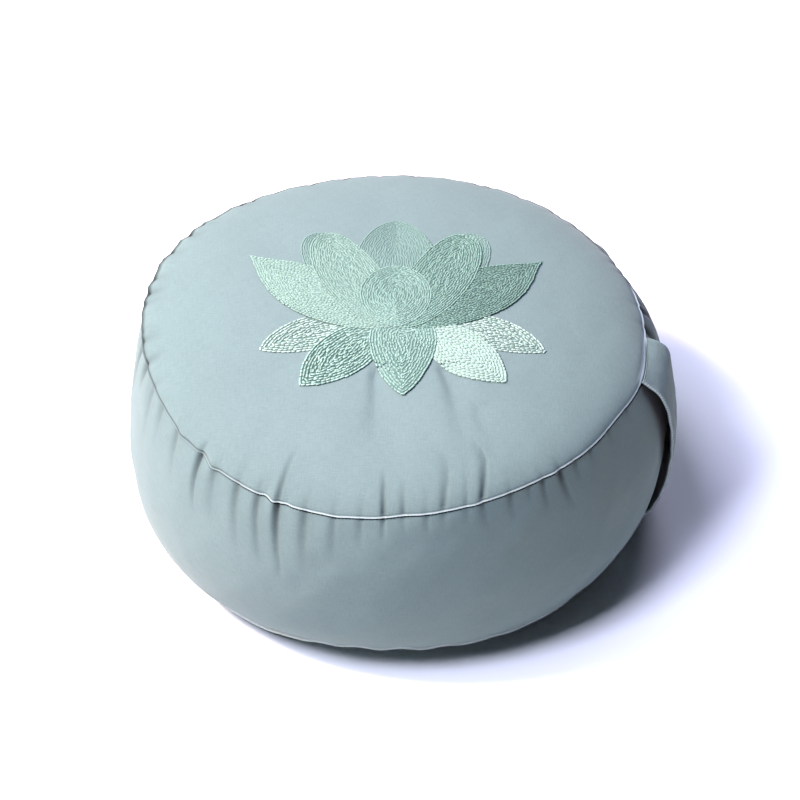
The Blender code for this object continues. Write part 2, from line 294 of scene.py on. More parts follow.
# slow waves round the cover: times round, amount, the direction of a crest
Wave = namedtuple("Wave", "times amount toward")
seamWaves = (Wave(1, 3.2 * mm, 180), Wave(2, 4.4 * mm, -15), Wave(3, 3.3 * mm, 68))
bellyWaves = (Wave(1, 2.0 * mm, 14), Wave(2, 2.3 * mm, 45), Wave(3, 4.2 * mm, 9))
footWaves = (Wave(1, 5.7 * mm, -89), Wave(2, 0.8 * mm, 69), Wave(3, 3.5 * mm, -37))

# where the strap pulls the cloth in, and where it stands out
Pull = namedtuple("Pull", "angle spread amount")
seamPulls = (Pull(338, 9, 2.4 * mm), Pull(6, 12, 1.2 * mm))
bellyPulls = (Pull(0, 9, 1.8 * mm), Pull(25, 13, -3.0 * mm))

# where the filling presses the bottom seam out and down, and fills the band less above it, and
# how far the seam's edge stands out there
footPulls = (Pull(248, 30, 1 * mm),)
footSpread = {"out": 2.6, "down": 1.0, "less": 4.5}
lipPulls = (Pull(243, 15, 2.3 * mm),)
# where the pale edge of wear and painted highlight is wider
wearAndHighlightPulls = (Pull(338, 24, 0.15 * mm),)      # where the rubbed edge is wider

# where the seam itself wanders out or in between the gathers
seamSteps = (
    Pull(224.0, 2.0, 1.2 * mm), Pull(231.8, 1.5, -1.3 * mm), Pull(235.3, 1.4, 1.5 * mm),
    Pull(249.5, 1.0, -1.0 * mm), Pull(251.8, 0.9, 0.9 * mm), Pull(254.8, 1.0, -0.6 * mm),
    Pull(266.0, 2.0, 0.5 * mm), Pull(280.5, 3.5, -0.8 * mm), Pull(296.0, 1.5, 0.4 * mm),
    Pull(315.0, 1.5, 0.4 * mm), Pull(43.5, 3.5, -1.6 * mm), Pull(54.7, 1.3, -1.8 * mm),
    Pull(61.0, 3.5, 0.9 * mm), Pull(67.0, 1.2, -1.8 * mm), Pull(74.0, 3.5, 0.9 * mm),
)
# where the band puffs out just under the seam
bandPuffs = (Pull(43.5, 4.0, 3.0 * mm), Pull(18.0, 6.0, 1.5 * mm))
puffForm = {"at": 1.09, "width": 0.06}

# low lumps in the filling: height, size, seed, and how much finer they are across the band
Lump = namedtuple("Lump", "height size seed finer")
panelLumps = (Lump(0.30 * mm, 60 * mm, 3, 1.0), Lump(0.12 * mm, 22 * mm, 4, 1.0))
bandLumps = (Lump(0.35 * mm, 55 * mm, 5, 1.3), Lump(0.14 * mm, 18 * mm, 6, 1.0))

# The gathers at the top seam. Depths in mm; width in degrees; the band's run is a share of the
# band, the panel's of its radius, and over 0.3 of the band or 0.13 of the panel's radius a
# gather drifts round by its lean in degrees.
Fold = namedtuple("Fold", "angle width bandDepth bandReach lean panelDepth panelReach panelLean")
gathers = (
    Fold(207.6, 1.0, 0.4, 0.20, 2.0, 0.0, 0.06, 0.0),
    Fold(215.3, 1.1, 0.8, 0.22, 3.4, 0.0, 0.06, 0.0),
    Fold(222.8, 1.0, 1.0, 0.26, 3.8, 0.1, 0.06, 0.0),
    Fold(231.0, 0.7, 1.9, 0.30, 2.6, 0.3, 0.07, 0.0),
    Fold(236.1, 1.1, 0.9, 0.28, 3.0, 0.1, 0.06, 0.0),
    Fold(242.6, 1.0, 1.2, 0.35, 3.2, 0.2, 0.08, 0.0),
    Fold(248.0, 0.85, 1.3, 0.37, 2.8, 0.2, 0.08, 0.0),
    Fold(252.8, 0.8, 2.2, 0.40, 2.4, 0.9, 0.20, -0.8),
    Fold(259.4, 1.1, 1.2, 0.34, 1.2, 0.2, 0.10, 0.0),
    Fold(265.8, 1.0, 0.8, 0.26, 0.6, 0.2, 0.08, 0.0),
    Fold(271.6, 0.9, 0.6, 0.20, 0.2, 0.2, 0.10, 0.0),
    Fold(276.4, 0.65, 0.8, 0.14, 0.0, 1.5, 0.16, -0.3),
    Fold(280.7, 0.8, 0.4, 0.12, 0.0, 0.8, 0.12, 0.0),
    Fold(285.6, 0.8, 0.5, 0.14, 0.0, 0.2, 0.10, 0.5),
    Fold(289.2, 0.9, 0.4, 0.12, 0.0, 1.0, 0.22, 2.6),
    Fold(294.2, 0.8, 0.4, 0.12, 0.0, 0.4, 0.14, 2.0),
    Fold(297.8, 0.85, 0.9, 0.16, 1.6, 1.6, 0.22, 3.8),
    Fold(304.2, 0.9, 0.9, 0.18, 0.6, 0.0, 0.08, 2.0),
    Fold(308.6, 0.8, 0.5, 0.14, 0.6, 0.0, 0.08, 0.0),
    Fold(312.2, 0.8, 1.1, 0.20, 0.8, 0.0, 0.08, 0.0),
    Fold(316.8, 0.8, 1.8, 0.26, 3.2, 0.0, 0.08, 0.0),
    Fold(321.2, 0.8, 0.7, 0.16, 2.4, 0.0, 0.08, 0.0),
    Fold(326.2, 0.8, 0.6, 0.14, 1.0, 0.0, 0.06, 0.0),
    Fold(333.5, 0.8, 0.5, 0.12, 0.0, 0.0, 0.06, 0.0),
    Fold(342.2, 0.8, 0.5, 0.12, 0.0, 0.0, 0.06, 0.0),
)
foldForm = {"spread": 0.4, "seamShare": 0.25, "peak": 0.05, "rise": 0.6, "fall": 0.9,
            "rightShare": 0.75, "shadeWidth": 1.15, "shadeDepth": 2.6, "calm": 11}
backGathers = {"first": 372.0, "last": 574.0, "count": 36, "depth": 1.8, "width": 1.1,
               "reach": 0.26, "panelReach": 0.09, "sideEnds": 432,
               "corner": 1.2 * mm, "cornerSpread": 1.6, "cornerToward": 165, "cornerAround": 28}
footGathers = {"count": 36, "depth": 1.1 * mm, "reach": 0.16, "swell": 0.4, "times": 5, "toward": -8}

# Soft creases that the embroidery draws in the top: start, middle and end in mm on the panel,
# seen from above with the camera's side down, then width and depth in mm.
Crease = namedtuple("Crease", "x0 y0 x1 y1 x2 y2 width depth")
creases = (
    Crease(-12.0, -55.0, -11.0, -84.0, -11.4, -116.0, 5.0, 2.3),
    Crease(25.3, -55.0, 38.6, -82.0, 37.5, -132.0, 5.0, 2.2),
    Crease(46.0, -84.0, 51.0, -104.0, 52.0, -126.0, 5.0, 1.0),
)
creaseForm = {"narrow": 0.6, "widening": 0.8, "rightShare": 2.8, "start": 0.08, "fall": 0.7, "reach": 9}
viewTurn = 9.0      # degrees from the camera's right to the strap's direction


def ripples(rows, angle):
    # Cosine waves round the cushion, summed.
    return sum(row.amount * np.cos(row.times * np.radians(angle - row.toward)) for row in rows)


def pulls(rows, angle):
    # Bells of the angle from each row's own, summed.
    return sum(row.amount * bell(turned(angle, row.angle) / row.spread) for row in rows)


def cubicCurve(start, first, second, end, t):
    # The cubic curve from start to end with two handles.
    return ((1 - t) ** 3 * start + 3 * (1 - t) ** 2 * t * first
            + 3 * (1 - t) * t**2 * second + t**3 * end)


def section(angle, place):
    # Radius and height of the plain cloth. place runs 0 to 1 out over the panel, a dome of
    # (1 - place^2.4)^0.62, 1 to 2 down the band, a cubic curve, and 2 to 3 in under the bottom.
    seam = cushion["seamRadius"] - pulls(seamPulls, angle)
    lift = ripples(seamWaves, angle)
    belly = ripples(bellyWaves, angle) - pulls(bellyPulls, angle)
    pressed = pulls(footPulls, angle)
    foot = cushion["footRadius"] + ripples(footWaves, angle) + footSpread["out"] * pressed
    outward, down, inward = np.clip(place, 0, 1), np.clip(place - 1, 0, 1), np.clip(place - 2, 0, 1)
    dome = (1 - outward ** cushion["domePower"]) ** cushion["domeRound"]
    panelHeight = cushion["seamHeight"] + lift * outward**2 + cushion["crown"] * dome
    upperOut, upperDown = cushion["upperHandle"]
    lowerOut, lowerUp = cushion["lowerHandle"]
    lowerOut = lowerOut - footSpread["less"] * pressed
    top, low = cushion["seamHeight"] + lift, cushion["footHeight"] - footSpread["down"] * pressed
    bandRadius = cubicCurve(seam, seam + upperOut + belly, foot + lowerOut + belly, foot, down)
    bandHeight = cubicCurve(top, top - upperDown, low + lowerUp, low, down)
    underRadius = foot + (cushion["restRadius"] - foot) * inward
    underHeight = low * (1 - inward) ** cushion["restRound"]
    radius = np.where(place <= 1, outward * seam, np.where(place <= 2, bandRadius, underRadius))
    height = np.where(place <= 1, panelHeight, np.where(place <= 2, bandHeight, underHeight))
    return radius, height


def stretch(name, angle):
    # 1 in that stretch of the seam and 0 elsewhere, with soft ends: e^(-(degrees from its
    # middle / half its length)^8).
    toward, half = seamStretches[name]
    return np.exp(-(turned(angle, toward) / half) ** 8)


def lumps(rows, x, y):
    # The unevenness of each row, summed.
    return sum(row.height * softNoise(x, row.finer * y, row.size, row.seed) for row in rows)


def directions(angle, place):
    # A unit step along the cloth in the section, out and up, by differences.
    step = 0.004
    radiusA, heightA = section(angle, np.maximum(place - step, 0))
    radiusB, heightB = section(angle, np.minimum(place + step, 3))
    alongR, alongZ = radiusB - radiusA, heightB - heightA
    length = np.hypot(alongR, alongZ)
    return alongR / length, alongZ / length


def backFolds():
    # The gathers behind: even steps, each off its place, depth and reach by a sine of its number.
    form = backGathers
    index = np.arange(form["count"])
    turn = (form["last"] - form["first"]) * (index + 0.3 * np.sin(2.4 * index)) / form["count"]
    angle = form["first"] + turn
    depth = form["depth"] * (0.75 + 0.45 * np.sin(1.7 * index + 1))
    reach = form["reach"] + 0.1 * np.sin(2.9 * index)
    onPanel = np.where(angle < form["sideEnds"], 0.05, 0.3) * depth
    return [Fold(a, form["width"], d, r, 0.0, p, form["panelReach"], 0.0)
            for a, d, r, p in zip(angle % 360, depth, reach, onPanel)]


def drift(own, place):
    # How far round the cloth slants off its own angle on its way down the band, growing with
    # distance^1.5, and evenly on its way in over the panel, as far as the lotus.
    angles = [fold.angle for fold in gathers]
    ends = [gathers[0].angle - 12, gathers[-1].angle + 12]
    known = [ends[0], *angles, ends[1]]
    bandLean = np.interp(own, known, [0, *(fold.lean for fold in gathers), 0])
    panelLean = np.interp(own, known, [0, *(fold.panelLean for fold in gathers), 0])
    down = np.clip((place - 1) / 0.3, 0, 1.1) ** 1.5
    inward = np.clip((1 - place) / 0.13, 0, 1) * np.clip((place - 0.70) / 0.12, 0, 1)
    return bandLean * down + panelLean * inward


def foldRelief(own, place):
    # Each gather is a bell-shaped trough, narrower on its right. Along its run it deepens quickly
    # and fades to the end, and the seam itself is drawn in by a share of it. Also gives the painted
    # shade in it, 0 to 1.
    shape = np.broadcast(own, place).shape
    total, paintedShade = np.zeros(shape), np.zeros(shape)
    onBand = place > 1
    for fold in gathers + tuple(backFolds()):
        share = np.abs(place - 1) / np.where(onBand, fold.bandReach, fold.panelReach)
        inside = np.clip(share, 0, 1)
        ownDepth = np.where(onBand, fold.bandDepth, fold.panelDepth)
        rise = np.clip(inside / foldForm["peak"], 0, 1) ** foldForm["rise"]
        run = rise * (1 - inside) ** foldForm["fall"]
        depth = foldForm["seamShare"] * fold.bandDepth * (1 - inside) ** 2 + ownDepth * run
        width = fold.width * (1 + foldForm["spread"] * inside)
        away = turned(own, fold.angle)
        off = away / width / np.where(away > 0, foldForm["rightShare"], 1.0)
        total += depth * mm * bell(off)
        paintedShade += np.clip(depth / foldForm["shadeDepth"], 0, 1) * bell(away / (foldForm["shadeWidth"] * width))
    return total, np.clip(paintedShade, 0, 1)


def columnAngles():
    # The cloth's own angles for the columns: even steps, several times closer beside a gather
    # of the near side. They are read off the running total of that closeness.
    steps = np.linspace(0, 360, 36001)
    close = 1 + cushion["columnsCloser"] * sum(
        bell(turned(steps, fold.angle + 0.1) / cushion["columnsWithin"]) for fold in gathers)
    total = np.concatenate([[0], np.cumsum(0.5 * (close[1:] + close[:-1]))]) * (steps[1] - steps[0])
    count = int(total[-1] / cushion["columnStep"])
    return np.interp(np.arange(count) * total[-1] / count, total, steps)


def seamWander(angle):
    # The seam's own steps, and behind an outward corner between each two gathers. Gives how far
    # out it goes and how far up: a step in front goes down as it goes out, a corner goes up.
    out = pulls(seamSteps, angle)
    corners = [fold.angle for fold in backFolds() if 80 < fold.angle < 215]
    corner = sum(np.exp(-np.abs(turned(angle, at + 2.8)) / backGathers["cornerSpread"]) for at in corners)
    around = bell(turned(angle, backGathers["cornerToward"]) / backGathers["cornerAround"])
    corner = backGathers["corner"] * corner * (0.25 + 0.75 * around)
    return out + 0.6 * corner, corner - 0.5 * out


def creaseRelief(x, y):
    # A soft trough along a quadratic curve, steeper on its left, fading at both ends. Near the
    # curve, the distance from it is that from the nearest of its points.
    total = np.zeros(np.broadcast(x, y).shape)
    turn = np.radians(viewTurn)
    viewX, viewY = x * np.cos(turn) + y * np.sin(turn), y * np.cos(turn) - x * np.sin(turn)
    for row in creases:
        run = np.linspace(0, 1, 60)
        lineX = ((1 - run) ** 2 * row.x0 + 2 * run * (1 - run) * row.x1 + run**2 * row.x2) * mm
        lineY = ((1 - run) ** 2 * row.y0 + 2 * run * (1 - run) * row.y1 + run**2 * row.y2) * mm
        reach = creaseForm["reach"] * row.width * mm
        near = ((viewX > lineX.min() - reach) & (viewX < lineX.max() + reach)
                & (viewY > lineY.min() - reach) & (viewY < lineY.max() + reach))
        gaps = np.hypot(viewX[near][:, None] - lineX, viewY[near][:, None] - lineY)
        closest = gaps.argmin(axis=1)
        away = gaps[np.arange(len(closest)), closest]
        along = run[closest]
        fade = np.clip(along / creaseForm["start"], 0, 1) * (1 - along) ** creaseForm["fall"]
        share = away / (row.width * mm * (creaseForm["narrow"] + creaseForm["widening"] * along))
        right = viewX[near] > lineX[closest]
        total[near] += row.depth * mm * fade * bell(np.where(right, share / creaseForm["rightShare"], share))
    return total


def ridgeShare(angle):
    # How much of the raised edge shows: all of it in front, a tenth elsewhere.
    return 0.1 + 0.9 * stretch("front", angle)


def lineAt(across, line):
    # A bell of the distance from the line.
    return line.amount * bell((across - line.at) / line.width)


def seamRelief(angle, place):
    # Across the top seam: a raised edge in front, between a stitched groove below and a fine one
    # above, and a higher edge behind. All are wider along the strap, where four more layers are
    # caught in the seam. The bottom seam has an edge that the filling presses out, between two
    # grooves. The sharper edges are a bell squared.
    shown, widened = ridgeShare(angle), 1 + 1.9 * stretch("strap", angle)
    away = (place - 1) * cushion["panelLength"]
    across = away / widened
    front, past, low = seamLines["frontEdge"], seamLines["edgePastStrap"], seamLines["lowEdge"]
    total = front.amount * shown * widened**0.5 * bell(across / front.width) ** 2
    total = total + stretch("back", angle) * lineAt(across, seamLines["backEdge"])
    total = total + past.amount * stretch("pastStrap", angle) * bell(away / past.width) ** 2
    total = total - shown * lineAt(across, seamLines["groove"])
    total = total - (1.1 - shown) * lineAt(across, seamLines["upperGroove"])
    under = (place - 2) * cushion["underLength"]
    total = total + (low.amount + pulls(lipPulls, angle)) * bell(under / low.width) ** 2
    return total - lineAt(np.abs(under), seamLines["lowGrooves"])


def clothOffset(own, place, radius, height):
    # How far the cloth stands off the plain form, along its normal: the seams' lines, low lumps
    # and puffs, less the gathers at both seams and the creases. It dies out under the bottom.
    x, y = radius * np.cos(np.radians(own)), radius * np.sin(np.radians(own))
    drawnIn, _ = foldRelief(own, place)
    nearFoot = np.clip(1 - np.abs(place - 2) / footGathers["reach"], 0, 1)
    swell = 1 - footGathers["swell"] + footGathers["swell"] * np.cos(
        np.radians(footGathers["times"] * (own - footGathers["toward"])))
    rhythm = 0.5 + 0.5 * np.cos(np.radians(footGathers["count"] * own))
    drawnIn = drawnIn + footGathers["depth"] * nearFoot * swell * rhythm
    drawnIn = drawnIn * (1 - np.exp(-((turned(own, 0) / foldForm["calm"]) ** 4)))    # not by the strap
    drawnIn = drawnIn + creaseRelief(x, y) * (place < 1)
    onPanel = np.clip((place - 0.02) / 0.5, 0, 1) * np.clip((1 - place) / 0.03, 0, 1)
    onBand = np.clip((place - 1) / 0.05, 0, 1) * np.clip((2 - place) / 0.1, 0, 1)
    arc = own * np.pi / 180 * cushion["mapRadius"]
    uneven = np.where(place <= 1, lumps(panelLumps, x, y) * onPanel, lumps(bandLumps, arc, height) * onBand)
    puff = pulls(bandPuffs, own) * bell((place - puffForm["at"]) / puffForm["width"]) * (place > 1)
    flat = np.clip((2.9 - place) / 0.5, 0, 1)
    return (seamRelief(own, place) + uneven + puff - drawnIn) * flat


def cushionPoints(own, place, lift=0.0):
    # Points of the cloth by its own angle, which it drifts off, and its place.
    angle = own + drift(own, place)
    radius, height = section(angle, place)
    alongR, alongZ = directions(angle, place)
    off = clothOffset(own, place, radius, height) + lift
    nearSeam = bell((place - 1) / 0.05)
    out, up = seamWander(own)
    radius, height = radius - alongZ * off + out * nearSeam, height + alongR * off + up * nearSeam
    turn = np.radians(angle)
    return np.stack([radius * np.cos(turn), radius * np.sin(turn), height], axis=-1)


# Rows of points from the middle of the panel to the middle of the bottom, closest at the seams:
# from, to, how many.
coverRows = (
    (0.02, 0.40, 10), (0.40, 0.76, 16), (0.76, 0.96, 22), (0.96, 0.982, 5), (0.982, 0.993, 9),
    (0.993, 1.008, 26), (1.008, 1.016, 7), (1.016, 1.05, 8), (1.05, 1.50, 40), (1.50, 1.93, 20),
    (1.93, 1.978, 5), (1.978, 2.022, 18), (2.022, 2.10, 5), (2.10, 2.99, 9), (2.99, 3.0, 1),
)


def wearHighlightAndShade(angle, place):
    # Two numbers from 0 to 1 for each point. The first, pale edges of wear and painted highlight,
    # is a sum of bells along the edges: in front, over and just past the strap, and at the bottom
    # seam. The second, painted shade, is a sum of bells along the grooves, with a cosine for the
    # stitch holes, of the cloth beside, under and past the strap, and of the gathers.
    across = (place - 1) * cushion["panelLength"]
    under = (place - 2) * cushion["underLength"] + 0 * angle
    shown, rear = ridgeShare(angle), stretch("back", angle)
    strapped, past = stretch("strap", angle), stretch("pastStrap", angle)
    front, edge = wearAndHighlightLines["front"], wearAndHighlightLines["overStrap"]
    rubbed = bell((across - front.at) / (front.width + pulls(wearAndHighlightPulls, angle))) * shown * (1 - strapped)
    rubbed = rubbed + strapped * np.exp(-(((across - edge.at) / edge.width) ** 4))
    rubbed = rubbed + past * lineAt(across, wearAndHighlightLines["pastStrap"]) + lineAt(under, wearAndHighlightLines["low"])

    form = paintedShadeForm
    folds = foldRelief(angle, place)[1]
    holes = 0.5 + 0.5 * np.cos(2 * np.pi * np.radians(angle) * cushion["seamRadius"] / cushion["stitchPitch"])
    slanted = turned(angle, form["besideToward"]) - form["besideSlant"] * (place - 1)
    beside = (bell(slanted / form["besideSpread"]) * np.clip(across / form["besideStart"], 0, 1)
              * np.clip((form["besideEnd"] - place) / form["besideFade"], 0, 1))
    underStrap = strapped * np.clip(across / form["underStart"] - 1, 0, 1) * (place < 2)
    pastStrap = past * np.clip(across / form["pastStart"] - 1, 0, 1) * bell((place - 1) / form["pastFade"])
    groove = lineAt(across, paintedShadeLines["groove"]) * (1 - form["holes"] + form["holes"] * holes)
    above = lineAt(across, paintedShadeLines["above"]) * np.clip(0.3 + 2 * folds, 0, 1)
    sides = lineAt(across, paintedShadeLines["sides"]) * (1 - shown) * (1 - rear)
    paintedShade = (groove + above) * shown * (1 - strapped)
    paintedShade = paintedShade + (sides + rear * lineAt(across, paintedShadeLines["behind"])) * (1 - past)
    paintedShade = paintedShade + lineAt(under, paintedShadeLines["low"]) + form["folds"] * folds
    paintedShade = paintedShade + form["beside"] * beside + form["under"] * underStrap + form["past"] * pastStrap
    return np.clip(rubbed, 0, 1), np.clip(paintedShade, 0, 1)


def makeCushion(finish):
    # The cover as one closed surface: own angle by place on a grid, and a point for each pole.
    angle = columnAngles()
    place = np.concatenate([np.linspace(*row, endpoint=False) for row in coverRows])
    points = cushionPoints(angle[None, :], place[:, None])
    points[..., 2] = np.maximum(points[..., 2], cushion["floorGap"])
    rows, columns = points.shape[:2]
    top = points[0].mean(axis=0)
    top[2] = cushion["seamHeight"] + cushion["crown"]
    under = np.array([0, 0, cushion["floorGap"]])
    allPoints = np.concatenate([points.reshape(-1, 3), [top], [under]])
    index = np.arange(columns)
    following = (index + 1) % columns
    last = (rows - 1) * columns
    topFan = np.stack([np.full(columns, rows * columns), index, following], axis=1)
    underFan = np.stack([np.full(columns, rows * columns + 1), last + following, last + index], axis=1)
    piece = newPiece("cushion_cover", allPoints, [gridFaces(rows, columns, True), topFan, underFan], finish)

    # The cloth's map: the panel and the bottom lie flat, the band is unrolled round the side.
    down = np.clip(place - 1, 0, 1)[:, None] * cushion["bandLength"]
    arc = angle[None, :] * np.pi / 180 * cushion["mapRadius"]
    bandMap = np.stack([arc + 0 * down, 2 - down + 0 * arc], axis=-1)
    flatMap = points[..., :2] + np.where(place > 1.5, 1.0, 0.0)[:, None, None]
    onBand = ((place > 1) & (place < 2))[:, None, None]
    clothMap = np.where(onBand, bandMap, flatMap).reshape(-1, 2)
    setClothMap(piece, np.concatenate([clothMap, [top[:2]], [[1.0, 1.0]]]))
    # pale edges, partly wear and partly painted highlight, and painted shade
    rubbed, paintedShade = wearHighlightAndShade(angle, place[:, None])
    setAttribute(piece, "wearAndHighlight", np.concatenate([rubbed.ravel(), [0, 0]]))
    setAttribute(piece, "paintedShade", np.concatenate([paintedShade.ravel(), [0, 0]]))
    return piece


strap = {
    "width": 42 * mm,
    "thickness": 2 * mm,
    "tuck": 5.0 * mm,            # how far its free edge is drawn in
    "start": 0.006,              # where it leaves the seams, as a share of the band
    "gap": 0.2 * mm,
    "steps": 280,
    "edgeStitch": 2.4 * mm,      # from the edge
    "stitchDent": 0.22 * mm,
    "dentWidth": 0.7 * mm,
    "wave": 0.18 * mm,           # slow unevenness, and its size
    "waveSize": 14 * mm,
    # the folded edges are paler, partly by wear and partly by painted highlight
    "rubbed": 0.75,              # how pale the folded edges are
    "rubbedWidth": 0.8 * mm,
    "pinch": 0.35,               # how much less so between the stitches
    "innerShade": 0.8,           # of the side by the cushion, where no light reaches
}

# Its inner face between the seams, in mm: out, up, how far it lies round the cushion, how much
# one edge leads the other, and how free it is to be drawn in.
Bow = namedtuple("Bow", "out up round lead free")
bows = (
    Bow(157.2, 122.6, 0.9, 0.5, 0.0), Bow(161.4, 119.2, 0.6, 0.8, 0.0), Bow(164.6, 114.6, 0.4, 0.8, 0.2),
    Bow(167.5, 107.0, 0.3, 0.6, 0.5), Bow(169.9, 97.0, 0.3, 0.4, 0.8), Bow(171.6, 84.0, 0.3, 0.2, 1.0),
    Bow(172.0, 71.0, 0.3, 0.0, 1.0), Bow(171.8, 60.0, 0.3, 0.2, 1.0), Bow(171.2, 49.5, 0.3, 0.6, 1.0),
    Bow(169.6, 39.5, 0.3, 0.8, 0.8), Bow(167.0, 29.5, 0.4, 0.8, 0.4), Bow(163.2, 20.0, 0.6, 0.6, 0.1),
    Bow(155.8, 13.0, 0.8, 0.2, 0.0),
)


def lengthAlong(path):
    # The length from a path's first point to each of its points.
    return np.concatenate([[0], np.cumsum(np.linalg.norm(np.diff(path, axis=0), axis=-1))])


def pointsAt(path, length, at):
    # The path's points at those lengths, between its own in a straight line.
    return np.stack([np.interp(at, length, path[:, k]) for k in range(path.shape[1])], axis=-1)


def smoothPath(points, count):
    # Smooth cubic curves through the points of each column, at even distances along them.
    ends = (2 * points[:1] - points[1:2], 2 * points[-1:] - points[-2:-1])
    held = np.concatenate([ends[0], points, ends[1]])
    a, b, c, d = held[:-3], held[1:-2], held[2:-1], held[3:]
    t = np.linspace(0, 1, 12, endpoint=False)[:, None, None]
    spans = [0.5 * (2 * q + (r - p) * t + (2 * p - 5 * q + 4 * r - s) * t**2 + (3 * q - p - 3 * r + s) * t**3)
             for p, q, r, s in zip(a, b, c, d)]
    dense = np.concatenate(spans + [points[-1:]])
    length = lengthAlong(dense.mean(axis=1))
    even = np.linspace(0, length[-1], count)
    columns = [np.interp(even, length, dense[:, k, axis]) for k in range(points.shape[1]) for axis in (0, 1)]
    return np.stack(columns, axis=-1).reshape(count, points.shape[1], 2)


def strapCentre(across):
    # Out and up of the inner face for an array of places across the strap: sewn to the cover at
    # both ends, and through the bows between them.
    def sewn(place):
        angle = np.degrees(np.arcsin(across / cushion["seamRadius"]))
        radius, height = section(angle, np.full(across.shape, place))
        alongR, alongZ = directions(angle, np.full(across.shape, place))
        out = radius - alongZ * strap["gap"]
        return np.stack([out * np.cos(np.radians(angle)), height + alongR * strap["gap"]], axis=-1)

    rows = [sewn(1 + strap["start"])]
    for bow in bows:
        out = bow.out * mm
        fall = bow.round * (out - np.sqrt(out**2 - across**2))
        share = across / (0.5 * strap["width"])
        lead = bow.lead * mm * share - strap["tuck"] * np.clip(share + 0.2, 0, 2) ** 2 * bow.free
        rows.append(np.stack([out - fall + lead, np.full(across.shape, bow.up * mm)], axis=-1))
    rows.append(sewn(2 - strap["start"]))
    return smoothPath(np.stack(rows), strap["steps"])


def strapSection():
    # The loop round the strap: across and up from the inner face. The two faces are dented at
    # the edge stitching and puffed between, and both edges are rounded folds.
    half, thick = 0.5 * strap["width"], strap["thickness"]
    inner = np.linspace(-half + 0.5 * thick, half - 0.5 * thick, 41)
    fromEdge = half - np.abs(inner)
    dent = strap["stitchDent"] * bell((fromEdge - strap["edgeStitch"]) / strap["dentWidth"])
    roundTurn = np.linspace(-90, 90, 7)[1:-1] * np.pi / 180
    edgeAcross = half - 0.5 * thick + 0.5 * thick * np.cos(roundTurn)
    edgeUp = 0.5 * thick + 0.5 * thick * np.sin(roundTurn)
    across = np.concatenate([inner, edgeAcross, inner[::-1], -edgeAcross])
    up = np.concatenate([dent, edgeUp, thick - dent, edgeUp[::-1]])
    return across, up


def strapPoints(across, up):
    # The section carried along the inner face's curve, with slow unevenness.
    path = strapCentre(across)
    along = unit(np.gradient(path, axis=0))
    off = np.stack([-along[..., 1], along[..., 0]], axis=-1)
    run = np.linspace(0, 1, strap["steps"])[:, None]
    wave = strap["wave"] * softNoise(run * 0.15 + 0 * across, across + 0 * run, strap["waveSize"], 8)
    placed = path + off * (up + wave)[..., None]
    return np.stack([placed[..., 0], np.broadcast_to(across, placed.shape[:2]), placed[..., 1]], axis=-1)


def makeStrap(finish):
    # The loop of the section by steps along the strap, closed by a face at each sewn end.
    across, up = strapSection()
    points = strapPoints(across, up)
    steps, sides = points.shape[:2]
    caps = [np.arange(sides)[None, :], (steps - 1) * sides + np.arange(sides)[None, ::-1]]
    piece = newPiece("carry_strap_cloth", points.reshape(-1, 3),
                     [gridFaces(steps, sides, True)[:, ::-1], caps[0], caps[1]], finish)
    length = np.linalg.norm(np.diff(points[:, 20], axis=0), axis=-1).sum()
    run = np.linspace(0, length, steps)[:, None]
    clothMap = np.stack([np.broadcast_to(across, (steps, sides)), run + 0 * across], axis=-1)
    setClothMap(piece, clothMap.reshape(-1, 2))
    fromEdge = 0.5 * strap["width"] - np.abs(across)
    # pale folded edges, partly wear and partly painted highlight, less of it between the stitches
    pinched = 1 - strap["pinch"] + strap["pinch"] * np.cos(2 * np.pi * run / cushion["stitchPitch"])
    rubbed = strap["rubbed"] * bell(fromEdge / strap["rubbedWidth"]) * pinched
    # painted shade on the inner face, by the cushion
    inner = strap["innerShade"] * np.clip(1.2 - 2 * up / strap["thickness"], 0, 1)
    setAttribute(piece, "wearAndHighlight", np.broadcast_to(rubbed, (steps, sides)))
    setAttribute(piece, "paintedShade", np.broadcast_to(inner, (steps, sides)))
    return piece, length


def stitchBodies(centre, along, off, length, width, height):
    # One spindle of thread for each row: two rings of six points and two ends. The points lie
    # at centre + along*a + side*b + off*c, for a table of (a, b, c) shared by all.
    side = np.cross(off, along)
    turn = np.arange(6) * np.pi / 3
    ring = np.stack([0 * turn, np.cos(turn), np.sin(turn)], axis=1)
    table = np.concatenate([[[-0.5, 0, -0.3]], ring + [-0.36, 0, 0], ring + [0.36, 0, 0], [[0.5, 0, -0.3]]])
    a, b, c = (table[:, k][None, :, None] for k in range(3))
    points = (centre[:, None] + along[:, None] * a * length[:, None, None]
              + side[:, None] * b * 0.5 * width + off[:, None] * c * 0.5 * height)
    index = np.arange(6)
    following = (index + 1) % 6
    fans = np.concatenate([np.stack([0 * index, 1 + following, 1 + index], axis=1),
                           np.stack([0 * index + 13, 7 + index, 7 + following], axis=1)])
    quads = np.stack([1 + index, 1 + following, 7 + following, 7 + index], axis=1)
    first = 14 * np.arange(len(centre))[:, None, None]
    return points.reshape(-1, 3), (quads + first).reshape(-1, 4), (fans + first).reshape(-1, 3)


def evenAlong(path, pitch, phase=0.5):
    # Middles at an even pitch along a path of points, and directions from points 0.3 of the
    # pitch before and after each.
    length = lengthAlong(path)
    count = max(int(length[-1] / pitch), 1)
    at = (np.arange(count) + phase) * length[-1] / count
    ahead, back = pointsAt(path, length, at + 0.3 * pitch), pointsAt(path, length, at - 0.3 * pitch)
    return pointsAt(path, length, at), unit(ahead - back + 1e-12)


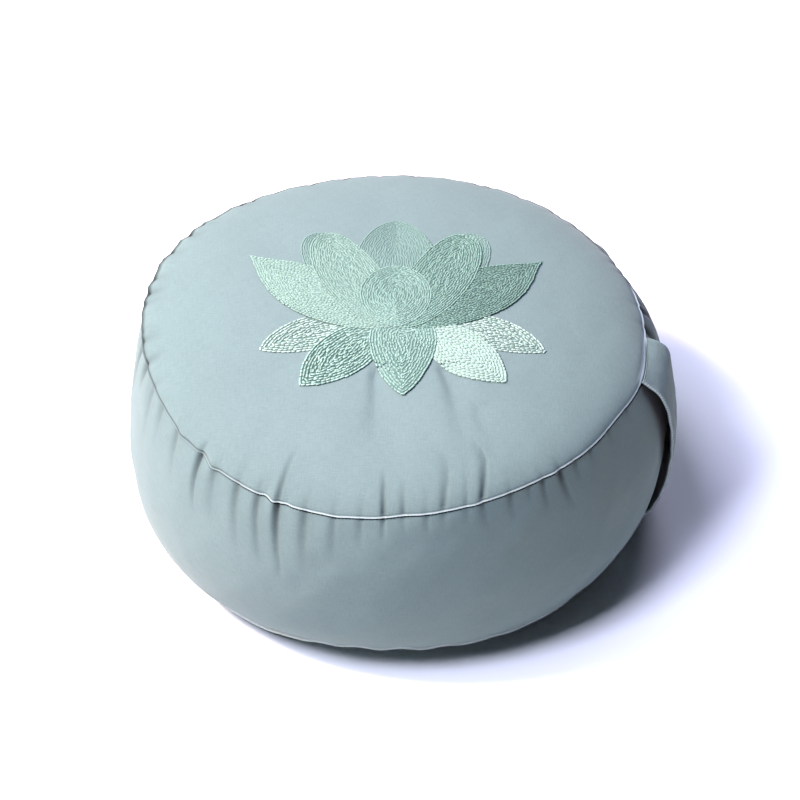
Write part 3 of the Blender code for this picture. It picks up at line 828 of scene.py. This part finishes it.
# Stitches of the seams and of the strap: length as a share of the pitch, and how far they
# stand off the cloth.
seamStitch = {"length": 0.6, "width": 0.42 * mm, "height": 0.3 * mm, "off": 0.08 * mm, "shade": 0.8}
strapStitch = {"length": 0.7, "width": 0.5 * mm, "height": 0.4 * mm, "off": 0.1 * mm, "shade": 0.8}


def stitchPiece(name, middles, along, off, form, finish):
    # Equal stitches at the given middles and directions, as one piece.
    length = np.full(len(middles), form["length"] * cushion["stitchPitch"])
    points, quads, fans = stitchBodies(middles + off * form["off"], along, off, length,
                                       form["width"], form["height"])
    piece = newPiece(name, points, [quads, fans], finish)
    setAttribute(piece, "shade", np.full(len(points), form["shade"]))
    return piece


def makeSeamStitches(name, seamPlace, finish, shows=None):
    # Short stitches in the groove beside a seam, at an even turn round it. Where shows is given,
    # it says for each angle whether the seam lies open there.
    turn = np.degrees(cushion["stitchPitch"] / cushion["seamRadius"])
    angle = turn * (np.arange(int(360 / turn)) + 0.5)
    if shows:
        angle = angle[shows(angle)]
    place = seamPlace + 0 * angle
    middles, above = cushionPoints(angle, place), cushionPoints(angle, place, mm)
    ahead = cushionPoints(angle + 0.3 * turn, place)
    return stitchPiece(name, middles, unit(ahead - middles), unit(above - middles), seamStitch, finish)


def makeStrapStitches(finish):
    # Top-stitching along both edges, on both faces: even steps along the cloth and along a line
    # a millimetre off it, which gives the direction off.
    half = 0.5 * strap["width"]
    middles, along, off = [], [], []
    for across in (-half + strap["edgeStitch"], half - strap["edgeStitch"]):
        for up, way in ((strap["stitchDent"], -1), (strap["thickness"] - strap["stitchDent"], 1)):
            path = strapPoints(np.array([across]), np.array([up]))[:, 0]
            outer = strapPoints(np.array([across]), np.array([up + way * mm]))[:, 0]
            middle, direction = evenAlong(path, cushion["stitchPitch"])
            raised, _ = evenAlong(outer, cushion["stitchPitch"])
            count = min(len(middle), len(raised))
            middles.append(middle[:count])
            along.append(direction[:count])
            off.append(unit(raised[:count] - middle[:count]))
    middles, along, off = np.concatenate(middles), np.concatenate(along), np.concatenate(off)
    return stitchPiece("strap_stitching", middles, along, off, strapStitch, finish)


lotus = {
    "stitchPitch": 1.6,            # length, width and height of a stitch, times the rows' pitch
    "stitchWidth": 0.72,
    "stitchHeight": 0.38,
    "lengthSpread": (0.9, 1.35),
    "crestSpread": (0.6, 1.2),     # how light one stitch is beside another
    "startSpread": (0.1, 0.9),
    "edgeTone": 1.25,              # how much lighter the outermost row is
    "stitchOff": 0.1 * mm,
    "scatter": 0.12 * mm,
    "firstRow": 0.35,              # from the outline, times the pitch
    "wander": 0.75 * mm,           # how far the inner rows wander, in patches of what size
    "wanderSize": 4.2 * mm,
    "wanderRows": 3,
    "layer": 0.28 * mm,            # how much higher each layer of petals lies
    "fillThickness": 0.25 * mm,
    "fillSink": 0.15 * mm,
    # the fill lies near the hollow's painted shade
    "fillTone": 0.05,
    "baseShare": 0.45,             # the lighter stretch at the base
    "baseTone": 0.5,
}

# Petals in mm, for the lotus seen with its stem end down: base, tip, how far the middle bends
# to the left of base-to-tip, half-width, and the shape of the sides (see petalSide). A side
# petal is listed once and mirrored, with a thread for the left one and one for the right one.
# aside is how far the whole group lies off the middle.
Petal = namedtuple("Petal", "name tones layer aside x0 y0 x1 y1 bend half fore crown aft pitch")
petals = (
    Petal("lower_far", ("pale", "pale"), 0, 4, -12, -22, -84, -41, -8, 14, 0.50, 2.0, 0.78, 1.8),
    Petal("lower_side", ("deep", "palest"), 1, 4, -8, -22, -60, -69, -1, 17, 0.50, 2.4, 0.92, 1.8),
    Petal("lower_middle", ("mid",), 2, 4, 0, -15, 0, -79, 0, 20, 0.35, 1.0, 0.75, 1.7),
    Petal("back_side", ("faint", "faint"), 0, 0, -2, -22, -50, 64, 8, 19, 0.45, 1.0, 0.42, 1.4),
    Petal("back_middle", ("faint",), 1, 0, 0, -25, 0, 77, 0, 25, 0.70, 1.0, 0.60, 1.4),
    Petal("outer", ("light", "dark"), 2, 0, 0, -25, -90, 43, 10, 20, 0.65, 3.0, 1.50, 1.4),
    Petal("inner", ("soft", "green"), 3, 0, 0, -25, -44, 62, 8, 19, 0.45, 1.0, 0.44, 1.4),
    Petal("middle", ("mid",), 4, 0, 0, -26, 0, 29, 0, 21.5, 0.60, 1.0, 0.55, 1.4),
)
# thread colours as sRGB: the hollow between two rows, a painted shade, and a stitch's crest, a
# painted highlight
tones = {
    "palest": ((212, 238, 232), (224, 249, 244)),
    "pale": ((128, 160, 156), (250, 272, 268)),
    "light": ((168, 200, 194), (208, 240, 234)),
    "soft": ((142, 178, 172), (203, 235, 229)),
    "faint": ((148, 182, 181), (176, 208, 207)),
    "mid": ((124, 163, 157), (204, 240, 235)),
    "green": ((98, 138, 130), (196, 236, 228)),
    "dark": ((80, 118, 110), (174, 216, 207)),
    "deep": ((72, 114, 106), (226, 262, 256)),
}
threadShare = np.array([0.350, 0.397, 0.350])      # how much light white thread sends back here


def threadColour(tone):
    # sRGB to linear light, times that share.
    linear = ((np.array(tone) / 255 + 0.055) / 1.055) ** 2.4
    return tuple(float(v) for v in linear * threadShare)


def petalSide(row, s, side):
    # A petal's outline. The axis is a quadratic curve from base to tip, and the half-width
    # across it is s^fore (1 - s^crown)^aft, brought to the row's half-width at its widest.
    base, tip = np.array([row.x0, row.y0]), np.array([row.x1, row.y1])
    run = tip - base
    normal = np.array([-run[1], run[0]]) / np.hypot(*run)
    middle = 0.5 * (base + tip) + normal * row.bend
    s = s[:, None]
    axis = (1 - s) ** 2 * base + 2 * s * (1 - s) * middle + s**2 * tip
    slope = unit(2 * (1 - s) * (middle - base) + 2 * s * (tip - middle))
    across = np.stack([-slope[:, 1], slope[:, 0]], axis=1)
    steps = np.linspace(0, 1, 200)
    widest = (steps**row.fore * (1 - steps**row.crown) ** row.aft).max()
    half = row.half * s**row.fore * (1 - s**row.crown) ** row.aft / widest
    return (axis + side * across * half) * mm


def petalOutline(row, count=160):
    # Both sides as one closed loop, counter-clockwise, with points gathered at the two ends.
    s = 0.5 - 0.5 * np.cos(np.linspace(0, np.pi, count))
    right, left = petalSide(row, s, -1), petalSide(row, s, 1)
    return np.concatenate([right[:-1], left[:0:-1]])


def insideLoop(points, loop):
    # Even-odd rule: how often a ray to the right crosses the loop.
    a, b = loop, np.roll(loop, -1, axis=0)
    x, y = points[:, 0][:, None], points[:, 1][:, None]
    straddles = (a[:, 1] > y) != (b[:, 1] > y)
    rise = np.where(b[:, 1] == a[:, 1], 1e-12, b[:, 1] - a[:, 1])
    crossing = a[:, 0] + (y - a[:, 1]) / rise * (b[:, 0] - a[:, 0])
    return (straddles & (x < crossing)).sum(axis=1) % 2 == 1


def evenLoop(loop, count):
    # That many points at even steps round a closed loop.
    closed = np.concatenate([loop, loop[:1]])
    length = lengthAlong(closed)
    return pointsAt(closed, length, np.arange(count) * length[-1] / count)


def contourRows(loop, pitch):
    # Rows of stitching that keep the outline's shape: the loop moved inwards by each distance,
    # without the stretches that come nearer to another side than that.
    loop = evenLoop(loop, 420)
    tangent = unit(np.roll(loop, -1, axis=0) - np.roll(loop, 1, axis=0))
    inward = np.stack([-tangent[:, 1], tangent[:, 0]], axis=1)
    rows = []
    for step in range(40):
        distance = (step + lotus["firstRow"]) * pitch
        moved = loop + inward * distance
        nearest = np.sqrt(((moved[:, None] - loop[None]) ** 2).sum(axis=-1)).min(axis=1)
        kept = moved[nearest > 0.985 * distance]
        if len(kept) < 8:
            break
        rows.append(np.concatenate([kept, kept[:1]]))
    return rows


def onPanel(xy, lift):
    # Points on the top cloth under flat places, in the cushion's own directions.
    turn = np.radians(viewTurn)
    x = xy[..., 0] * np.cos(turn) - xy[..., 1] * np.sin(turn)
    y = xy[..., 0] * np.sin(turn) + xy[..., 1] * np.cos(turn)
    angle = np.degrees(np.arctan2(y, x))
    place = np.hypot(x, y) / (cushion["seamRadius"] - pulls(seamPulls, angle))
    return cushionPoints(angle, place, lift)


def closedFill(row, place):
    # The cloth of thread under the stitches: a thin closed shell on the petal's grid, s from
    # base to tip and t from its right side to its left. place puts flat points on the panel.
    s = 0.5 - 0.5 * np.cos(np.linspace(0.02, 1, 44) * np.pi)
    t = np.linspace(-1, 1, 21)[None, :, None]
    leftSide, rightSide = petalSide(row, s, 1)[:, None], petalSide(row, s, -1)[:, None]
    flat = 0.5 * (leftSide + rightSide) + 0.5 * (leftSide - rightSide) * t
    sideEdge = np.clip((1 - np.abs(t[..., 0])) / 0.12, 0, 1)
    tipEdge = np.clip((1 - s[:, None]) / 0.02, 0, 1)
    edge = sideEdge**0.5 * tipEdge**0.5        # the shell thins out in a quarter round
    top = place(flat, lotus["fillThickness"] * edge)
    under = place(flat, -lotus["fillSink"] + 0 * edge)
    rows, columns = top.shape[:2]
    count = rows * columns
    sheet = gridFaces(rows, columns, False)
    rim = np.concatenate([np.arange(columns), np.arange(2, rows) * columns - 1,
                          np.arange(count - 1, count - columns - 1, -1),
                          np.arange(rows - 2, 0, -1) * columns])
    after = np.roll(rim, -1)
    wall = np.stack([after, rim, rim + count, after + count], axis=1)
    points = np.concatenate([top.reshape(-1, 3), under.reshape(-1, 3)])
    # the fill takes the hollow's painted shade, less of it towards the base
    nearBase = np.clip(1 - s / lotus["baseShare"], 0, 1)[:, None] + np.zeros(columns)
    tone = np.tile((lotus["fillTone"] + lotus["baseTone"] * nearBase).ravel(), 2)
    return points, np.concatenate([sheet, sheet[:, ::-1] + count, wall]), tone


def makePetal(name, row, mirror, covers, finish, draw):
    # A closed thin fill of thread under contour rows of raised stitches. A stitch that lies
    # under one of the covering petals is left out.
    flip = np.array([-1 if mirror else 1, 1])
    shift = np.array([row.aside * mm, 0])
    base = row.layer * lotus["layer"]

    def place(flat, lift):
        return onPanel(flat * flip + shift, base + lift)

    fillPoints, fillFaces, fillTone = closedFill(row, place)
    if mirror:
        fillFaces = fillFaces[:, ::-1]
    middles, along, tone = [], [], []
    for number, line in enumerate(contourRows(petalOutline(row), row.pitch * mm)):
        # the rows wander more the further in they lie
        loose = lotus["wander"] * (1 - np.exp(-number / lotus["wanderRows"]))
        line = line + loose * np.stack([softNoise(line[:, 0], line[:, 1], lotus["wanderSize"], seed)
                                        for seed in (31, 32)], axis=1)
        middle, direction = evenAlong(line, lotus["stitchPitch"] * row.pitch * mm,
                                      draw.uniform(*lotus["startSpread"]))
        middles.append(middle)
        along.append(direction)
        tone.append(np.full(len(middle), lotus["edgeTone"] if number == 0 else 1.0))
    middles, along, tone = np.concatenate(middles), np.concatenate(along), np.concatenate(tone)
    hidden = np.zeros(len(middles), bool)
    for loop in covers:
        hidden |= insideLoop(middles * flip + shift, loop)
    middles, along, tone = middles[~hidden], along[~hidden], tone[~hidden]
    count = len(middles)
    middles = middles + draw.normal(0, lotus["scatter"], middles.shape)
    height = lotus["fillThickness"] + lotus["stitchOff"]
    centre = place(middles, height)
    off = unit(place(middles, height + mm) - centre)
    lie = place(middles + along * 0.5 * mm, height) - centre
    lie = unit(lie - off * (lie * off).sum(axis=-1, keepdims=True))
    length = lotus["stitchPitch"] * row.pitch * mm * draw.uniform(*lotus["lengthSpread"], count)
    width, thick = lotus["stitchWidth"] * row.pitch * mm, lotus["stitchHeight"] * row.pitch * mm
    points, quads, fans = stitchBodies(centre, lie, off, length, width, thick)
    start = len(fillPoints)
    piece = newPiece("lotus_" + name, np.concatenate([fillPoints, points]),
                     [fillFaces, quads + start, fans + start], finish)
    light = np.repeat(tone * draw.uniform(*lotus["crestSpread"], count), 14)
    # painted shade at a stitch's two ends
    crest = np.tile([0.6] + [0.8] * 12 + [0.6], count) * light      # a stitch's two ends are darker
    setAttribute(piece, "shade", np.concatenate([fillTone, np.clip(crest, 0, 1)]))
    return piece


def makeLotus():
    # Every petal in turn, from the lowest layer up, with one thread for each tone.
    draw = np.random.default_rng(11)
    finishes = {name: threadMaterial("thread_" + name, *(threadColour(tone) for tone in pair))
                for name, pair in tones.items()}
    placed = []
    for row in petals:
        sides = ("_left", "_right") if len(row.tones) == 2 else ("",)
        for mirror, (side, tone) in enumerate(zip(sides, row.tones)):
            loop = petalOutline(row) * [-1 if mirror else 1, 1] + [row.aside * mm, 0]
            placed.append((row.name + side, row, mirror, finishes[tone], loop))
    # later rows lie over earlier ones
    return [makePetal(name, row, mirror, [later[4] for later in placed[number + 1:]], finish, draw)
            for number, (name, row, mirror, finish, loop) in enumerate(placed)]


# The cloth: its darker and lighter colours in linear light, the pale colour of its edges (wear
# and painted highlight), yarn sizes, the twill's slant, how much it mottles, its relief and
# sheen, and how dark its painted shade goes.
clothLook = {
    "deep": (0.113, 0.168, 0.166), "pale": (0.147, 0.212, 0.207), "rubbed": (0.45, 0.55, 0.55),
    "yarn": 0.45 * mm, "slubLength": 6 * mm, "twillTurn": 52, "twillPitch": 0.9 * mm, "twillShare": 0.35,
    "mottleSize": 40 * mm, "mottle": 0.02, "relief": 0.5, "depth": 0.12 * mm, "sheen": 0.12,
    "sheenRoughness": 0.5, "roughness": 0.88, "specular": 0.25, "seamShade": 0.9,
}
strapLook = {**clothLook, "deep": (0.104, 0.156, 0.156), "pale": (0.135, 0.197, 0.197)}

coverCloth = clothMaterial("cover_cloth_twill", clothLook)
strapCloth = clothMaterial("strap_cloth_twill", strapLook)
seamThread = threadMaterial("thread_seam", threadColour((70, 88, 96)), threadColour((112, 134, 142)))
strapThread = threadMaterial("thread_strap", threadColour((90, 112, 118)), threadColour((196, 218, 220)))

coverPiece = makeCushion(coverCloth)
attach(coverPiece, "root")
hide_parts("cushion")
print("cushion cover:", len(coverPiece.data.polygons), "faces")

strapPiece, strapLength = makeStrap(strapCloth)
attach(strapPiece, "root")
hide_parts("carry_strap")
print("strap length:", round(strapLength / mm, 1), "mm")

topStitches = makeSeamStitches("top_seam_stitches", 1.0055, seamThread,
                               lambda angle: ridgeShare(angle) > 0.4)     # where the seam lies open
bottomStitches = makeSeamStitches("bottom_seam_stitches", 2.0115, seamThread)
for piece in (topStitches, bottomStitches, makeStrapStitches(strapThread)):
    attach(piece, "root")
print("seam and strap stitching done")

for piece in makeLotus():
    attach(piece, "root")
print("lotus done")


stage = {"reach": 6.0, "colour": (0.885, 0.89, 0.915, 1), "roughness": 0.9}


def makeStage():
    # A plain square floor.
    made, shader, _ = startMaterial("floor_white")
    shader.inputs["Base Color"].default_value = stage["colour"]
    shader.inputs["Roughness"].default_value = stage["roughness"]
    reach = stage["reach"]
    corners = np.array([[-reach, -reach, 0], [reach, -reach, 0], [reach, reach, 0], [-reach, reach, 0]])
    floor = newPiece("studio_floor", corners, [np.array([[0, 1, 2, 3]])], made)


# Where each soft box stands, seen from the camera: degrees round from its right and up from
# the floor, metres from the cushion, then its side in metres.
SoftBox = namedtuple("SoftBox", "name around up distance side watts colour")
softBoxes = (
    SoftBox("left_key", 180, 50, 2.0, 0.35, 79, (1.00, 0.79, 0.63)),
    SoftBox("front_left", 215, 55, 2.0, 0.5, 42.6, (0.78, 0.82, 1.00)),
    SoftBox("high_left", 190, 70, 2.0, 0.9, 35, (0.66, 0.66, 1.00)),
    SoftBox("behind_left", 130, 30, 2.0, 0.9, 14.5, (0.90, 0.99, 1.00)),
    SoftBox("behind_right", 70, 45, 2.0, 0.9, 15, (0.72, 0.75, 1.00)),
)


aimHeight = 80 * mm     # of the point that every lamp is aimed at


def aimed(place, target):
    # The turn that points a lamp or camera from place to target.
    return mathutils.Vector(target - place).to_track_quat("-Z", "Y").to_euler()


def onSphere(around, up):
    # A direction from the cushion, for angles seen from the camera.
    around, up = np.radians(around + viewTurn), np.radians(up)
    return np.array([np.cos(around) * np.cos(up), np.sin(around) * np.cos(up), np.sin(up)])


def addLight(box):
    # A square area lamp aimed at the middle of the cushion.
    lamp = bpy.data.lights.new(box.name, "AREA")
    lamp.size = box.side
    lamp.energy = box.watts
    lamp.color = box.colour
    holder = bpy.data.objects.new(box.name, lamp)
    middle = np.array([0, 0, aimHeight])
    place = middle + onSphere(box.around, box.up) * box.distance
    holder.location = place
    holder.rotation_euler = aimed(place, middle)
    bpy.context.scene.collection.objects.link(holder)


view = {
    "azimuth": 9.0,
    "elevation": 42.4,
    "distance": 1.5,
    "middle": 120 * mm,       # height of the point that it circles
    "drop": 35.4 * mm,        # how far below and beside that point it looks
    "aside": 2.4 * mm,
    "lens": 111.06,
}


def makeCamera():
    # The camera stands on a sphere round the middle of the cushion, and looks a little below it.
    azimuth, elevation = np.radians(view["azimuth"]), np.radians(view["elevation"])
    back = np.array([np.sin(azimuth) * np.cos(elevation), -np.cos(azimuth) * np.cos(elevation),
                     np.sin(elevation)])
    right = np.array([np.cos(azimuth), np.sin(azimuth), 0])
    up = np.cross(back, right)
    middle = np.array([0, 0, view["middle"]])
    place = middle + back * view["distance"]
    camera = bpy.data.objects.new("photo_camera", bpy.data.cameras.new("photo_camera"))
    camera.data.lens = view["lens"]
    camera.data.sensor_width = 36
    camera.location = place
    camera.rotation_euler = aimed(place, middle - up * view["drop"] + right * view["aside"])
    bpy.context.scene.collection.objects.link(camera)
    bpy.context.scene.camera = camera


# the light that comes from all round
surround = {"colour": (0.80, 0.84, 1.0, 1), "strength": 0.02}


def makeWorld():
    # A faint even light from all round.
    world = bpy.data.worlds.new("studio_light")
    world.use_nodes = True
    background = world.node_tree.nodes["Background"]
    background.inputs["Color"].default_value = surround["colour"]
    background.inputs["Strength"].default_value = surround["strength"]
    bpy.context.scene.world = world


makeStage()
for box in softBoxes:
    addLight(box)
makeCamera()
makeWorld()
bpy.context.scene.view_settings.view_transform = "Standard"
print("floor, lights and camera done")
